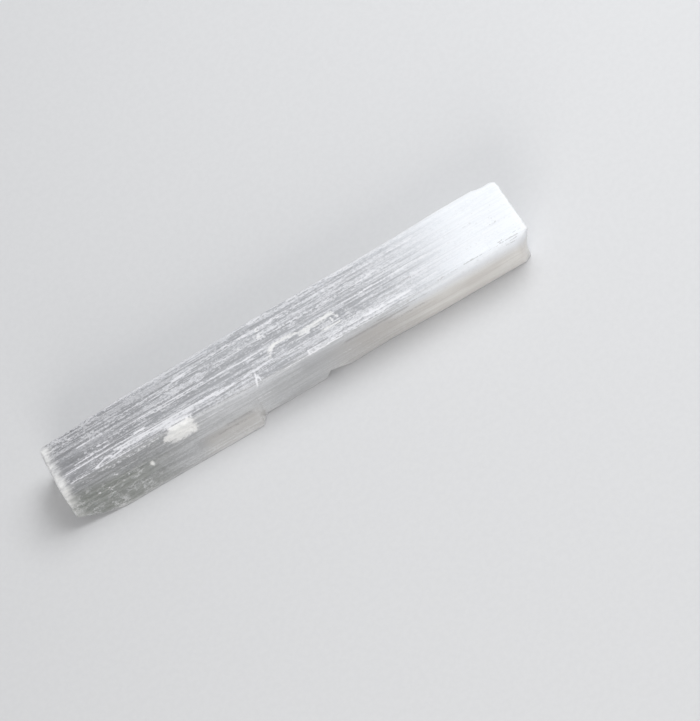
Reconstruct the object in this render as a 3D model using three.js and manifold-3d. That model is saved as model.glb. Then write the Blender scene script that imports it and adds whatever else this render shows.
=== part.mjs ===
// Selenite crystal blade: one cleaved stick of fibrous gypsum, lying on its flat underside.
//
// Millimetres, +Z up. The fibres run along X. The origin is the middle of the underside.
// The blade is a prism whose section changes along its length: the lower front edge flares out on
// the left half, where a thick splinter is still attached, and ends in a step where it broke off.

import * as THREE from 'three';
import { mergeVertices } from 'three/addons/utils/BufferGeometryUtils.js';
import Module from 'manifold-3d';

// ---- Driving dimensions ----

const LENGTH = 130;
const WIDTH = 21.2;
const HEIGHT = 13.5;
const END = LENGTH / 2;
const SIDE = WIDTH / 2;

// The four long edges, each as [x, y] along the blade. Straight between the points.
const BACK_TOP_EDGE = [
  [-END, SIDE - 4],
  [-END + 0.6, SIDE - 2.6],
  [-END + 1.6, SIDE - 2],
  [-53.2, SIDE - 1.8],
  [-52.6, SIDE - 1.4],
  [-43.2, SIDE - 1.2],
  [-42.6, SIDE - 0.95],
  [-15, SIDE - 0.6],
  [0, SIDE - 0.25],
  [18, SIDE - 0.45],
  [42, SIDE - 0.25],
  [47, SIDE],
  [58, SIDE],
  [59.5, SIDE - 0.5],
  [END - 1.5, SIDE - 0.6],
  [END, SIDE - 1.3],
];
const BACK_FOOT_EDGE = [
  [-END, SIDE - 3.4],
  [-END + 1.6, SIDE - 2.2],
  [-20, SIDE - 1.1],
  [10, SIDE - 0.7],
  [40, SIDE - 1.3],
  [END, SIDE - 1.6],
];
const RIDGE = [
  [-END, -SIDE + 5.2],
  [-40, -SIDE + 4.9],
  [-15, -SIDE + 4.1],
  [20, -SIDE + 3.3],
  [END, -SIDE + 2.7],
];
const FRONT_FOOT_EDGE = [
  [-END, -SIDE + 0.6],
  [-51, -SIDE],
  [-14.2, -SIDE + 0.1],
  [-12.4, -SIDE + 2.6],
  [4, -SIDE + 2.9],
  [23, -SIDE + 3.5],
  [38, -SIDE + 3.2],
  [END, -SIDE + 3.4],
];
// The line that the foot would take without the splinter. The front face follows it higher up.
const FRONT_CALM_EDGE = [
  [-END, -SIDE + 0.6],
  [-51, -SIDE],
  [4, -SIDE + 2.9],
  [23, -SIDE + 3.5],
  [38, -SIDE + 3.2],
  [END, -SIDE + 3.4],
];

// The top falls a little towards the ridge. The front face is hollow: it flares mostly at its foot,
// and the splinter stands out from it lower still. The levels are shares of the height.
const TOP_FALL = 0.35;
const FRONT_HOLLOW = 1.4;
const SPLINTER_HOLLOW = 3;
const FRONT_LEVELS = [0.6, 0.35, 0.18];

// Corner rounding, as [share of the width, share of the height].
const RIDGE_ROUND = [0.13, 0.15];
const BACK_TOP_ROUND = [0.05, 0.08];
const BACK_FOOT_ROUND = [0.06, 0.09];
const FRONT_FOOT_ROUND = [0.03, 0.05];
const ROUND_STEPS = 4;

const RING_SPACING = 4;

// The right end is broken aslant: how far its back and its foot fall short of the ridge's end.
const END_FALL_BACK = 1;
const END_FALL_FOOT = 2;
const END_FALL_REACH = 12;
const END_FALL_TOP = 0.4;

// Broken places, each a flat face with the stone on its outer side gone: a point on it, and the way out.
const BREAKS = [
  // Lower left corner, in two faces.
  { at: [-51.4, -SIDE, 0], out: [-0.2, -0.5, -0.84] },
  { at: [-60.5, -SIDE + 0.4, 2.1], out: [-0.42, -0.4, -0.81] },
  // Right end: the corner to the front face, the top edge and the corner to the back face.
  { at: [END - 3.2, -SIDE + 3.4, 5], out: [0.5, -0.85, -0.1] },
  { at: [END - 0.6, 0, HEIGHT], out: [0.8, 0, 0.6] },
  { at: [END - 1.3, SIDE - 2.2, 6], out: [0.78, 0.62, -0.1] },
  // Left end: the top edge.
  { at: [-END + 0.5, 0, HEIGHT], out: [-0.75, 0, 0.66] },
];
const BREAK_BLOCK = 60;

// Chips out of a long edge: where along it they start, are deepest and stop, and the way out.
const CHIPS = [
  // Bruise on the ridge.
  { edge: RIDGE, z: HEIGHT, out: [0, -0.8, 1], from: -40, deepest: -29.4, to: -28.2, depth: 1.15 },
  // Front foot: the notch, and the shallow stretch between it and the splinter's end.
  { edge: FRONT_FOOT_EDGE, z: 0, out: [0, -1, -1], from: 4.6, deepest: 6.5, to: 13, depth: 1.75 },
  { edge: FRONT_FOOT_EDGE, z: 0, out: [0, -1, -1], from: -12.9, deepest: -11.4, to: 1, depth: 0.5 },
  // Back edges.
  { edge: BACK_TOP_EDGE, z: HEIGHT, out: [0, 1, 1], from: 59, deepest: 60.4, to: 63.5, depth: 0.5 },
  { edge: BACK_FOOT_EDGE, z: 0, out: [0, 1, -1], from: -34, deepest: -29, to: -20, depth: 1.3 },
  { edge: BACK_FOOT_EDGE, z: 0, out: [0, 1, -1], from: 21, deepest: 30, to: 33, depth: 1.1 },
];
const CHIP_RUN = 24;
const CHIP_PROUD = 3;

const MERGE_WITHIN = 1e-5;

const STONE = new THREE.MeshStandardMaterial({ color: 0xd9dade, roughness: 0.42, metalness: 0 });

const wasm = await Module();
wasm.setup();

// ---- Shapes ----

/** The y of a long edge at x, straight between its points. */
function edgeAt(edge, x) {
  const next = edge.findIndex(([at]) => at >= x);
  if (next <= 0) {
    return next === 0 ? edge[0][1] : edge[edge.length - 1][1];
  }
  const [x0, y0] = edge[next - 1];
  const [x1, y1] = edge[next];
  return THREE.MathUtils.mapLinear(x, x0, x1, y0, y1);
}

/** The section in shares of the width (front 0, back 1) and of the height, with its corners rounded. */
function unitSection() {
  const [ridgeW, ridgeH] = RIDGE_ROUND;
  const [backW, backH] = BACK_TOP_ROUND;
  const [heelW, heelH] = BACK_FOOT_ROUND;
  const [footW, footH] = FRONT_FOOT_ROUND;
  const section = new THREE.Shape();
  section.moveTo(footW, 0);
  section.lineTo(1 - heelW, 0);
  section.quadraticCurveTo(1, 0, 1, heelH);
  section.lineTo(1, 1 - backH);
  section.quadraticCurveTo(1, 1, 1 - backW, 1);
  section.lineTo(ridgeW, 1);
  section.quadraticCurveTo(0, 1, 0, 1 - ridgeH);
  FRONT_LEVELS.forEach((level) => section.lineTo(0, level));
  section.lineTo(0, footH);
  section.quadraticCurveTo(0, 0, footW, 0);
  return section;
}

/** Where the prism has a section: at every point of the long edges, and evenly between them. */
function ringPlaces() {
  const edges = [BACK_TOP_EDGE, BACK_FOOT_EDGE, RIDGE, FRONT_FOOT_EDGE];
  const corners = [...new Set(edges.flat().map(([x]) => x))].sort((a, b) => a - b);
  const places = [corners[0]];
  for (const corner of corners.slice(1)) {
    const start = places[places.length - 1];
    const parts = Math.ceil((corner - start) / RING_SPACING);
    for (let i = 1; i <= parts; i += 1) {
      places.push(THREE.MathUtils.lerp(start, corner, i / parts));
    }
  }
  return places;
}

/** How far the right end falls short at a place of the section, fading out along the blade. */
function endFall(across, up, x) {
  const fade = THREE.MathUtils.smoothstep(x, END - END_FALL_REACH, END);
  const low = 1 - THREE.MathUtils.smoothstep(up, END_FALL_TOP, 1);
  return fade * THREE.MathUtils.lerp(END_FALL_BACK * across, END_FALL_FOOT, low);
}

/** The y of the front face: from the ridge out to the calm line, and near the foot to the splinter. */
function frontAt(x, up) {
  const calm = edgeAt(FRONT_CALM_EDGE, x);
  const face = THREE.MathUtils.lerp(edgeAt(RIDGE, x), calm, (1 - up) ** FRONT_HOLLOW);
  return face + (edgeAt(FRONT_FOOT_EDGE, x) - calm) * (1 - up) ** SPLINTER_HOLLOW;
}

/** The unbroken blade: the unit section carried along X and stretched to the four long edges. */
function wholeBlade() {
  const places = ringPlaces();
  const steps = places.length - 1;
  const prism = new THREE.ExtrudeGeometry(unitSection(), {
    depth: 1,
    steps,
    curveSegments: ROUND_STEPS,
    bevelEnabled: false,
  });
  const points = prism.getAttribute('position');
  for (let i = 0; i < points.count; i += 1) {
    const across = points.getX(i);
    const up = points.getY(i);
    const x = places[Math.round(points.getZ(i) * steps)];
    const back = THREE.MathUtils.lerp(edgeAt(BACK_FOOT_EDGE, x), edgeAt(BACK_TOP_EDGE, x), up);
    const y = THREE.MathUtils.lerp(frontAt(x, up), back, across);
    const z = up * (HEIGHT - TOP_FALL * (1 - across));
    points.setXYZ(i, x - endFall(across, up, x), y, z);
  }
  return prism;
}

/** A closed three.js geometry as a solid. A solid turned inside out by its placing is turned back. */
function solidOf(geometry) {
  const bare = geometry.index ? geometry.toNonIndexed() : geometry.clone();
  bare.deleteAttribute('normal');
  bare.deleteAttribute('uv');
  const merged = mergeVertices(bare, MERGE_WITHIN);
  const triVerts = new Uint32Array(merged.index.array);
  if (signedVolume(merged) < 0) {
    triVerts.reverse();
  }
  const vertProperties = new Float32Array(merged.getAttribute('position').array);
  return new wasm.Manifold(new wasm.Mesh({ numProp: 3, vertProperties, triVerts }));
}

/** Six times the volume that the triangles enclose, below zero where they face inwards. */
function signedVolume(geometry) {
  const points = geometry.getAttribute('position');
  const corners = [new THREE.Vector3(), new THREE.Vector3(), new THREE.Vector3()];
  let sum = 0;
  for (let i = 0; i < geometry.index.count; i += 3) {
    corners.forEach((corner, k) => corner.fromBufferAttribute(points, geometry.index.getX(i + k)));
    sum += corners[0].dot(corners[1].cross(corners[2]));
  }
  return sum;
}

/** The block beyond a flat break: a cube standing on the break's plane, on its outer side. */
function blockBeyond({ at, out }) {
  const block = new THREE.BoxGeometry(BREAK_BLOCK, BREAK_BLOCK, BREAK_BLOCK);
  const way = new THREE.Vector3(...out).normalize();
  block.translate(0, 0, BREAK_BLOCK / 2);
  block.applyQuaternion(new THREE.Quaternion().setFromUnitVectors(new THREE.Vector3(0, 0, 1), way));
  block.translate(...at);
  return solidOf(block);
}

/** The stone missing from a chipped edge: a flat triangle, deep at one point, run across the edge. */
function chipWedge({ from, deepest, to, depth, edge, out, z }) {
  const outline = new THREE.Shape([
    new THREE.Vector2(from, CHIP_PROUD),
    new THREE.Vector2(from, 0),
    new THREE.Vector2(deepest, -depth),
    new THREE.Vector2(to, 0),
    new THREE.Vector2(to, CHIP_PROUD),
  ]);
  const wedge = new THREE.ExtrudeGeometry(outline, { depth: CHIP_RUN, bevelEnabled: false });
  wedge.translate(0, 0, -CHIP_RUN / 2);
  const along = new THREE.Vector3(1, 0, 0);
  const way = new THREE.Vector3(...out).normalize();
  wedge.applyMatrix4(new THREE.Matrix4().makeBasis(along, way, along.clone().cross(way)));
  wedge.translate(0, edgeAt(edge, deepest), z);
  return solidOf(wedge);
}

/** A solid as a three.js geometry, with the middle of its underside at the origin. */
function geometryOf(solid) {
  const mesh = solid.getMesh();
  const geometry = new THREE.BufferGeometry();
  geometry.setAttribute('position', new THREE.BufferAttribute(mesh.vertProperties, 3));
  geometry.setIndex(new THREE.BufferAttribute(mesh.triVerts, 1));
  geometry.computeBoundingBox();
  const middle = geometry.boundingBox.getCenter(new THREE.Vector3());
  geometry.translate(-middle.x, -middle.y, -geometry.boundingBox.min.z);
  geometry.computeVertexNormals();
  return geometry;
}

// ---- The blade ----

function blade() {
  const removed = [...BREAKS.map(blockBeyond), ...CHIPS.map(chipWedge)];
  const solid = removed.reduce((rest, piece) => rest.subtract(piece), solidOf(wholeBlade()));
  const mesh = new THREE.Mesh(geometryOf(solid), STONE);
  mesh.name = 'selenite_blade';
  return mesh;
}

const group = new THREE.Group();
group.add(blade());

export default group;
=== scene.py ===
"""Selenite crystal blade: the visual model of one cleaved stick of fibrous gypsum.

The blade is one closed surface: a rounded section carried along the fibres and stretched to the four
long edges, cut back by flat breaks and chips, then scored by the fibres. White veils lie sealed inside.
"""

import math

import bpy
import numpy as np
from bpy.props import FloatProperty, FloatVectorProperty, IntProperty, PointerProperty
from mathutils import Matrix, Vector


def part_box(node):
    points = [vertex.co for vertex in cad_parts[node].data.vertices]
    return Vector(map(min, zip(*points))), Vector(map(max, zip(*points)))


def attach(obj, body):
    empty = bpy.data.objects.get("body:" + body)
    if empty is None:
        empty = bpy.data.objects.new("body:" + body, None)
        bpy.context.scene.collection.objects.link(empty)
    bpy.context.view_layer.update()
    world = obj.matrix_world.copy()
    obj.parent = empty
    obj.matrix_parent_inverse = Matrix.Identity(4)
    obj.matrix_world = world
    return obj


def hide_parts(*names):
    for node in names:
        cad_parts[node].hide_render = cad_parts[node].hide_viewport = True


bl_info = {
    "name": "Selenite Blade",
    "version": (1, 0, 0),
    "blender": (4, 5, 0),
    "location": "View3D > Sidebar > Selenite",
    "description": "Makes a cleaved blade of fibrous selenite with its sealed-in veils",
    "category": "Add Mesh",
}

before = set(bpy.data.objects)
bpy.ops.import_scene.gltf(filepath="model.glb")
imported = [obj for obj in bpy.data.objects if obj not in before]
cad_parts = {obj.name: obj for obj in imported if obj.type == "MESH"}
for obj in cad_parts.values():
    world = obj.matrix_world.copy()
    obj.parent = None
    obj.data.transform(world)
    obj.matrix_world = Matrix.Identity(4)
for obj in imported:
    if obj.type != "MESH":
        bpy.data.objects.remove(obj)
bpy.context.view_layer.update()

NODE = "selenite_blade"
LOW, HIGH = (np.array(corner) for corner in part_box(NODE))
MIDDLE = (LOW + HIGH) / 2
LENGTH, WIDTH, HEIGHT = (float(side) for side in HIGH - LOW)
MM = 0.001
SEED = 41


# --------------------------------------------------
# Shape of the blade, in millimetres
# --------------------------------------------------

# Half the length, half the width, and the height.
END = 65.0
SIDE = 10.6
TALL = 13.5

# The width that spaces the points round the section, and the points on each rounded corner.
SECTION_WIDTH = 18
CORNER_STEPS = 24

# The four long edges as (x, y) along the blade, straight between the points.
BACK_TOP_EDGE = (
    (-END, SIDE - 4), (-END + 0.6, SIDE - 2.6), (-END + 1.6, SIDE - 2), (-53.2, SIDE - 1.8),
    (-52.6, SIDE - 1.4), (-43.2, SIDE - 1.2), (-42.6, SIDE - 0.95), (-15, SIDE - 0.6), (0, SIDE - 0.25),
    (18, SIDE - 0.45), (42, SIDE - 0.25), (47, SIDE), (58, SIDE), (59.5, SIDE - 0.5),
    (END - 1.5, SIDE - 0.6), (END, SIDE - 1.3),
)
# The line the back top edge would take without its small steps. The back face follows it lower down.
BACK_CALM_EDGE = (
    (-END, SIDE - 3.2), (-53, SIDE - 1.7), (-43, SIDE - 1.15), (-15, SIDE - 0.6), (0, SIDE - 0.25),
    (18, SIDE - 0.45), (42, SIDE - 0.25), (52, SIDE - 0.1), (END, SIDE - 1.0),
)
BACK_FOOT_EDGE = (
    (-END, SIDE - 3.4), (-END + 1.6, SIDE - 2.2), (-20, SIDE - 1.1), (10, SIDE - 0.7),
    (40, SIDE - 1.3), (END, SIDE - 1.6),
)
RIDGE = (
    (-END, -SIDE + 5.2), (-40, -SIDE + 4.9), (-15, -SIDE + 4.1), (20, -SIDE + 3.3), (END, -SIDE + 2.7),
)
FRONT_FOOT_EDGE = (
    (-END, -SIDE + 0.6), (-51, -SIDE), (-14.2, -SIDE + 0.1), (-12.4, -SIDE + 2.6), (4, -SIDE + 2.9),
    (23, -SIDE + 3.5), (38, -SIDE + 3.2), (END, -SIDE + 3.4),
)
# The line the foot would take without the splinter. The front face follows it higher up.
FRONT_CALM_EDGE = (
    (-END, -SIDE + 0.6), (-51, -SIDE), (4, -SIDE + 2.9), (23, -SIDE + 3.5), (38, -SIDE + 3.2),
    (END, -SIDE + 3.4),
)

# How far the top falls towards the ridge. Then the powers that bend the front face, its splinter and
# the steps of the back face.
TOP_FALL = 0.35
FRONT_HOLLOW = 1.4
SPLINTER_HOLLOW = 3
STEP_HOLLOW = 4

# How far the right end falls short at its back and its foot, the length of blade over which that
# begins, and the share of the height up to which the foot's part is full.
END_FALL_BACK = 1.0
END_FALL_FOOT = 2.0
END_FALL_REACH = 12.0
END_FALL_TOP = 0.4

# Corner rounding as (share of the width, share of the height): ridge, back top, back foot, front foot.
RIDGE_ROUND = (0.13, 0.15)
BACK_TOP_ROUND = (0.05, 0.08)
BACK_FOOT_ROUND = (0.06, 0.09)
FRONT_FOOT_ROUND = (0.03, 0.05)

# Flat breaks: a point on each, and the way out of the stone.
BREAKS = (
    ((-51.4, -SIDE, 0), (-0.2, -0.5, -0.84)),
    ((-60.5, -SIDE + 0.4, 2.1), (-0.42, -0.4, -0.81)),
    ((END - 3.2, -SIDE + 3.4, 5), (0.5, -0.85, -0.1)),
    ((END - 0.6, 0, TALL), (0.8, 0, 0.6)),
    ((END - 1.3, SIDE - 2.2, 6), (0.78, 0.62, -0.1)),
    ((-END + 0.5, 0, TALL), (-0.75, 0, 0.66)),
)

# Chips out of a long edge: edge, its height, way out (y, z), start, deepest place, stop, depth.
CHIPS = (
    (RIDGE, TALL, (-0.8, 1), -40, -29.4, -28.2, 1.15),
    (FRONT_FOOT_EDGE, 0, (-1, -1), 4.6, 6.5, 13, 1.75),
    (FRONT_FOOT_EDGE, 0, (-1, -1), -12.9, -11.4, 1, 0.5),
    (BACK_TOP_EDGE, TALL, (1, 1), 59, 60.4, 63.5, 0.5),
    (BACK_FOOT_EDGE, 0, (1, -1), -34, -29, -20, 1.3),
    (BACK_FOOT_EDGE, 0, (1, -1), 21, 30, 33, 1.1),
)

# Each end: the end face's share of the section, and the reach and rings of the rounding round it.
CAP_SHARE = 0.945
RIM_DEEP = 0.45
RIM_RINGS = 3

# Where rings stand closer together, their spacing there, what is added to it further away, where that
# begins and is full, and the number of steps that the spacing is worked out in.
CLOSE_RINGS = (-END, -53, -43, -29, -28, -13.3, -10, 4, 6.5, 13.5, END)
CLOSE_SPACING = 0.14
WIDER_SPACING = 0.5
CLOSE_REACH = (0.3, 4)
SPACING_STEPS = 6000

# Smooth noise of the relief: cells round the section, and the length of a cell.
BROAD_WAVES = (14, 34)
RIDGE_WAVES = (90, 30)
FINE_WAVES = (150, 12)
GRAVEL_WAVES = (150, 0.55)

# Split fibres of the relief: how many lanes round the section, the shortest and the longest.
SPLIT_FIBRES = (60, 9, 60)
THIN_FIBRES = (140, 4, 26)

# How many values a lane or a row of cells holds before it repeats.
REPEAT = 400

# Depths of the relief: even, then for each noise, then crushed places and marks.
EVEN_DEPTH = 0.03
BROAD_DEPTH = 0.035
RIDGE_DEPTH = 0.010
FINE_DEPTH = 0.012
SPLIT_DEPTH = 0.040
THIN_DEPTH = 0.030
CRUSHED_DEPTH = 0.02
GRAVEL_DEPTH = 0.055
STREAK_DEPTH = 0.04
DARK_DEPTH = 0.10

# Torn fibre ends: how far from the end they begin and are full, the width that their cells are spread
# over, cells across it with the height of a cell, and depths.
TORN_FROM = 1.4
TORN_FULL = 0.1
END_SPAN = 23
CLUMP_CELLS = (23, 0.9)
TUFT_CELLS = (61, 0.4)
CLUMP_DEPTH = 0.08
TUFT_DEPTH = 0.06

# The limit where a chip doesn't reach, further out than any point.
FAR_OUT = 1e3


def smooth(low, high, value):
    """0 below low, 1 above high, and three t squared less two t cubed between them."""
    t = np.clip((value - low) / (high - low), 0, 1)
    return t * t * (3 - 2 * t)


def edge_at(edge, x):
    """The y of a long edge at x: straight between its points."""
    xs, ys = np.array(edge, float).T
    return np.interp(x, xs, ys)


def unit_section(count):
    """Shares of width and height, and the share of the way round, at points an even step apart.

    The section's straight sides are joined by parabolas.
    """
    t = np.linspace(0, 1, CORNER_STEPS)[:, None]

    def corner(start, tip, stop):
        """A parabola from start to stop that leaves and arrives towards the tip."""
        return (1 - t) ** 2 * np.array(start) + 2 * t * (1 - t) * np.array(tip) + t * t * np.array(stop)

    (rw, rh), (bw, bh) = RIDGE_ROUND, BACK_TOP_ROUND
    (hw, hh), (fw, fh) = BACK_FOOT_ROUND, FRONT_FOOT_ROUND
    path = np.concatenate((
        [(0.5, 0)],
        corner((1 - hw, 0), (1, 0), (1, hh)),
        corner((1, 1 - bh), (1, 1), (1 - bw, 1)),
        corner((rw, 1), (0, 1), (0, 1 - rh)),
        corner((0, fh), (0, 0), (fw, 0)),
        [(0.5, 0)],
    ))
    steps = np.hypot(*(np.diff(path, axis=0) * (SECTION_WIDTH, TALL)).T)
    run = np.concatenate(([0], np.cumsum(steps)))
    even = np.linspace(0, run[-1], count, endpoint=False)
    return np.interp(even, run, path[:, 0]), np.interp(even, run, path[:, 1]), even / run[-1]


def ring_places(count):
    """Places of the rings along the blade: the wanted spacing grows with the distance from a close spot."""
    x = np.linspace(-END + RIM_DEEP, END - RIM_DEEP, SPACING_STEPS)
    away = np.min(np.abs(x[:, None] - np.array(CLOSE_RINGS)), axis=1)
    wanted = CLOSE_SPACING + WIDER_SPACING * smooth(*CLOSE_REACH, away)
    run = np.concatenate(([0], np.cumsum(np.diff(x) / wanted[1:])))
    return np.interp(np.linspace(0, run[-1], count), run, x)


class Lattice:
    """Smooth noise: random values on a grid, joined by smooth steps. Wraps round in its first direction."""

    def __init__(self, rng, cells):
        self.cells = cells
        self.values = rng.random((cells, REPEAT)) * 2 - 1

    def at(self, s, x):
        """s in turns of the section, x in cells along the blade."""
        a = s * self.cells
        i = np.floor(a).astype(int)
        j = np.floor(x).astype(int)
        fa, fx = smooth(0, 1, a - i), smooth(0, 1, x - j)

        def value(di, dj):
            """The random value of the cell corner that lies di and dj steps on."""
            return self.values[(i + di) % self.cells, (j + dj) % REPEAT]

        near = value(0, 0) * (1 - fa) + value(1, 0) * fa
        far = value(0, 1) * (1 - fa) + value(1, 1) * fa
        return near * (1 - fx) + far * fx


def waves(rng, s, x, cells, length):
    """Smooth noise from -1 to 1 on cells round the section and along the blade."""
    return Lattice(rng, cells).at(s, (x + END) / length)


def planks(rng, s, x, lanes, shortest, longest):
    """Split fibres, each with a random level from 0 to 1.

    The section is cut into uneven lanes, and each lane into lengths of its own.
    """
    borders = np.sort(rng.random(lanes))
    lane = np.searchsorted(borders, s) % lanes
    lengths = rng.uniform(shortest, longest, lanes)
    phase = rng.random(lanes) * longest
    level = rng.random((lanes, REPEAT))
    part = np.floor((x + 2 * END + phase[lane]) / lengths[lane]).astype(int) % REPEAT
    return level[lane, part]


def pull_in(y, z, middle, way, limit):
    """Points beyond way . (y, z) = limit move straight towards the section's middle until they lie on it."""
    my, mz = middle
    reach = way[0] * (y - my) + way[1] * (z - mz)
    room = limit - way[0] * my - way[1] * mz
    keep = np.where(reach > room, np.maximum(room, 0) / np.maximum(reach, 1e-9), 1.0)
    return my + (y - my) * keep, mz + (z - mz) * keep


def push_back(y, z, way, limit):
    """Points beyond way . (y, z) = limit move square to that line until they lie on it."""
    over = np.maximum(way[0] * y + way[1] * z - limit, 0) / (way[0] ** 2 + way[1] ** 2)
    return y - way[0] * over, z - way[1] * over


def carve(x, y, z):
    """Cuts the flat breaks and the chips. A chip's face sinks evenly from its ends to its deepest place."""
    middle = ((y.min(axis=1) + y.max(axis=1))[:, None] / 2, np.full((len(y), 1), TALL / 2))
    for at, out in BREAKS:
        way = np.array(out) / np.linalg.norm(out)
        limit = way @ np.array(at) - way[0] * x
        y, z = push_back(y, z, way[1:], limit)
    for edge, high, out, start, deepest, stop, depth in CHIPS:
        way = np.array(out) / np.hypot(*out)
        sink = np.interp(x, (start, deepest, stop), (0, depth, 0))
        on_edge = way[0] * edge_at(edge, deepest) + way[1] * high
        limit = np.where((x > start) & (x < stop), on_edge - sink, FAR_OUT)
        y, z = pull_in(y, z, middle, way, limit)
    return y, z


# --------------------------------------------------
# Marks on the blade, in millimetres
# --------------------------------------------------

# Marks are placed by x and by how far down they lie on the slope that runs over the top face, the
# ridge and the front face. The slope is seen square on from above the front, 60 degrees up.
SLOPE = math.radians(60)
SLOPE_TOP = 13.46

# White streaks, partly white fibres and cracks, partly painted highlights of fibre edges: x and slope of one
# end, x and slope of the other, half width, strength.
STREAKS = (
    # Left third of the top face.
    (-61.6, 1.2, -55.6, 1.2, 0.17, 0.5), (-51.5, 1.5, -40.3, 1.6, 0.12, 0.6),
    (-39.8, 2.3, -23, 1.7, 0.14, 0.7), (-28, 1.6, -22.9, 1.2, 0.22, 0.8),
    (-39.8, 3.1, -27.7, 2.8, 0.14, 0.6), (-56.1, 4.1, -49.5, 4, 0.22, 0.75),
    (-49.5, 4.4, -45.9, 4.1, 0.14, 0.6), (-37.4, 3.7, -21.7, 3.2, 0.14, 0.6),
    (-45.2, 5.5, -41, 5.4, 0.14, 0.6), (-41, 5.4, -22.2, 5.4, 0.12, 0.9),
    (-35.5, 6.05, -25.8, 5.9, 0.11, 0.8), (-52.4, 6.3, -49, 6.3, 0.14, 0.6),
    (-59.2, 7.2, -58.9, 8.7, 0.14, 0.6), (-58.7, 7.5, -49.5, 7.3, 0.16, 0.75),
    # The last stroke on the next line, at x -42 to -40, is a painted glint of a small facet.
    (-55.3, 7.2, -51.9, 7.2, 0.22, 0.7), (-61.6, 8.5, -39.8, 8.2, 0.13, 0.9), (-42, 8, -40.1, 8, 0.24, 1),
    (-54.3, 10.6, -51.9, 9.8, 0.26, 0.8), (-51.9, 9.8, -50, 9.7, 0.26, 0.8),
    (-50.2, 10.4, -47.6, 10, 0.24, 0.8), (-48, 9.3, -45.6, 9.1, 0.2, 0.8),
    (-48.3, 9, -20.5, 9.2, 0.2, 0.9), (-47, 9.7, -27.7, 9.7, 0.5, 0.72),
    (-27.7, 9.2, -15, 9.7, 0.45, 0.72), (-61.1, 10.9, -56.8, 11, 0.13, 0.8),
    (-56.8, 11, -45.4, 11, 0.11, 0.85), (-45.4, 10.9, -45.7, 12.1, 0.14, 0.6),
    (-35, 10.8, -28.5, 10.7, 1.1, 0.62), (-62, 12.2, -50, 12.3, 0.8, 0.36),
    (-50, 12.3, -37, 12.2, 0.8, 0.42), (-50, 6.8, -37, 6.8, 0.6, 0.35),
    # Front face, left: three faint lines and the curled scratches.
    (-28.2, 13.7, -20.9, 13.8, 0.13, 0.6), (-46, 13.3, -42.8, 13.3, 0.12, 0.5),
    (-22, 15.9, -3, 16, 0.12, 0.45), (-48.6, 15.9, -47.9, 17.4, 0.16, 0.6),
    (-54.3, 16.5, -53.2, 18.9, 0.15, 0.6), (-57.5, 15.8, -56.4, 17.3, 0.15, 0.6),
    (-58.7, 18.4, -57.5, 20, 0.15, 0.6), (-56, 19.5, -54.6, 20.9, 0.15, 0.6),
    (-51.6, 14.5, -50.3, 14.9, 0.2, 0.55),
    # Middle of the top face.
    (-20.5, 10, -15.6, 9.7, 0.3, 0.7), (-20.5, 1, -6, 0.7, 0.14, 0.65),
    (-13.7, 0.6, -10.3, 1.1, 0.26, 0.75), (-14, 0.9, 8, 0.9, 0.9, 0.5), (-6, 0.7, 23.1, 0.7, 0.14, 0.7),
    (-5.2, 2.4, -4, 2.9, 0.22, 0.7), (-15.6, 3.3, -0.6, 3.3, 0.14, 0.65),
    (-0.6, 3.3, 25.5, 3.4, 0.13, 0.6), (-20.5, 5.8, -16.1, 5.8, 0.16, 0.85),
    (-15.2, 5.8, -12.7, 5.9, 0.17, 0.85), (-12, 6, -5.2, 5.8, 0.19, 0.8),
    (-5.2, 5.1, -2.1, 4.8, 0.14, 0.7), (-11.5, 8, -7.9, 8.1, 0.13, 0.6),
    (-15.6, 9.9, -7.9, 9.4, 0.19, 0.7), (-12.3, 9.4, -4.7, 9.1, 0.19, 0.8),
    (-13.7, 10.6, -10.3, 10.4, 0.26, 0.65), (-10.8, 13.1, -9.9, 10.4, 0.2, 1),
    (-10.3, 11.5, -9.6, 11, 0.18, 0.95), (-9.55, 11, -9.35, 12.3, 0.17, 0.85),
    (-0.4, 10.6, 0.1, 11.6, 0.16, 0.65), (4, 11.8, 4.1, 12.8, 0.24, 0.95),
    (4.2, 11.8, 9.5, 11.75, 0.14, 0.85), (4.2, 12.75, 12, 12.7, 0.14, 0.85),
    (4.6, 12.3, 7.4, 12.3, 0.26, 0.5), (9.5, 12.3, 25.5, 12.2, 0.24, 0.72),
    (-3, 12.85, 32.8, 12.85, 0.11, 0.8), (9.8, 11.4, 25.5, 11.1, 0.2, 0.7),
    (17, 5.8, 25.5, 5.7, 0.2, 0.75),
    # Right third of the top face, and a faint line on the front face.
    (20.7, 0.5, 38.8, 0.55, 0.15, 0.7), (20.7, 3.4, 27.5, 3, 0.17, 0.65), (20.7, 5.8, 40, 5.7, 0.22, 0.7),
    (20.7, 7.8, 27.5, 7.5, 0.14, 0.6), (25.5, 9.2, 32.8, 9.2, 0.2, 0.65),
    (21.2, 11.4, 32.8, 11.3, 0.26, 0.85), (10, 10.9, 24, 10.7, 0.16, 0.75), (18, 12, 34, 12.1, 0.18, 0.6),
    (35.2, 10.7, 41.3, 10.7, 0.18, 0.6), (8.6, 16.6, 16, 16.8, 0.14, 0.45),
)

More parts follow.
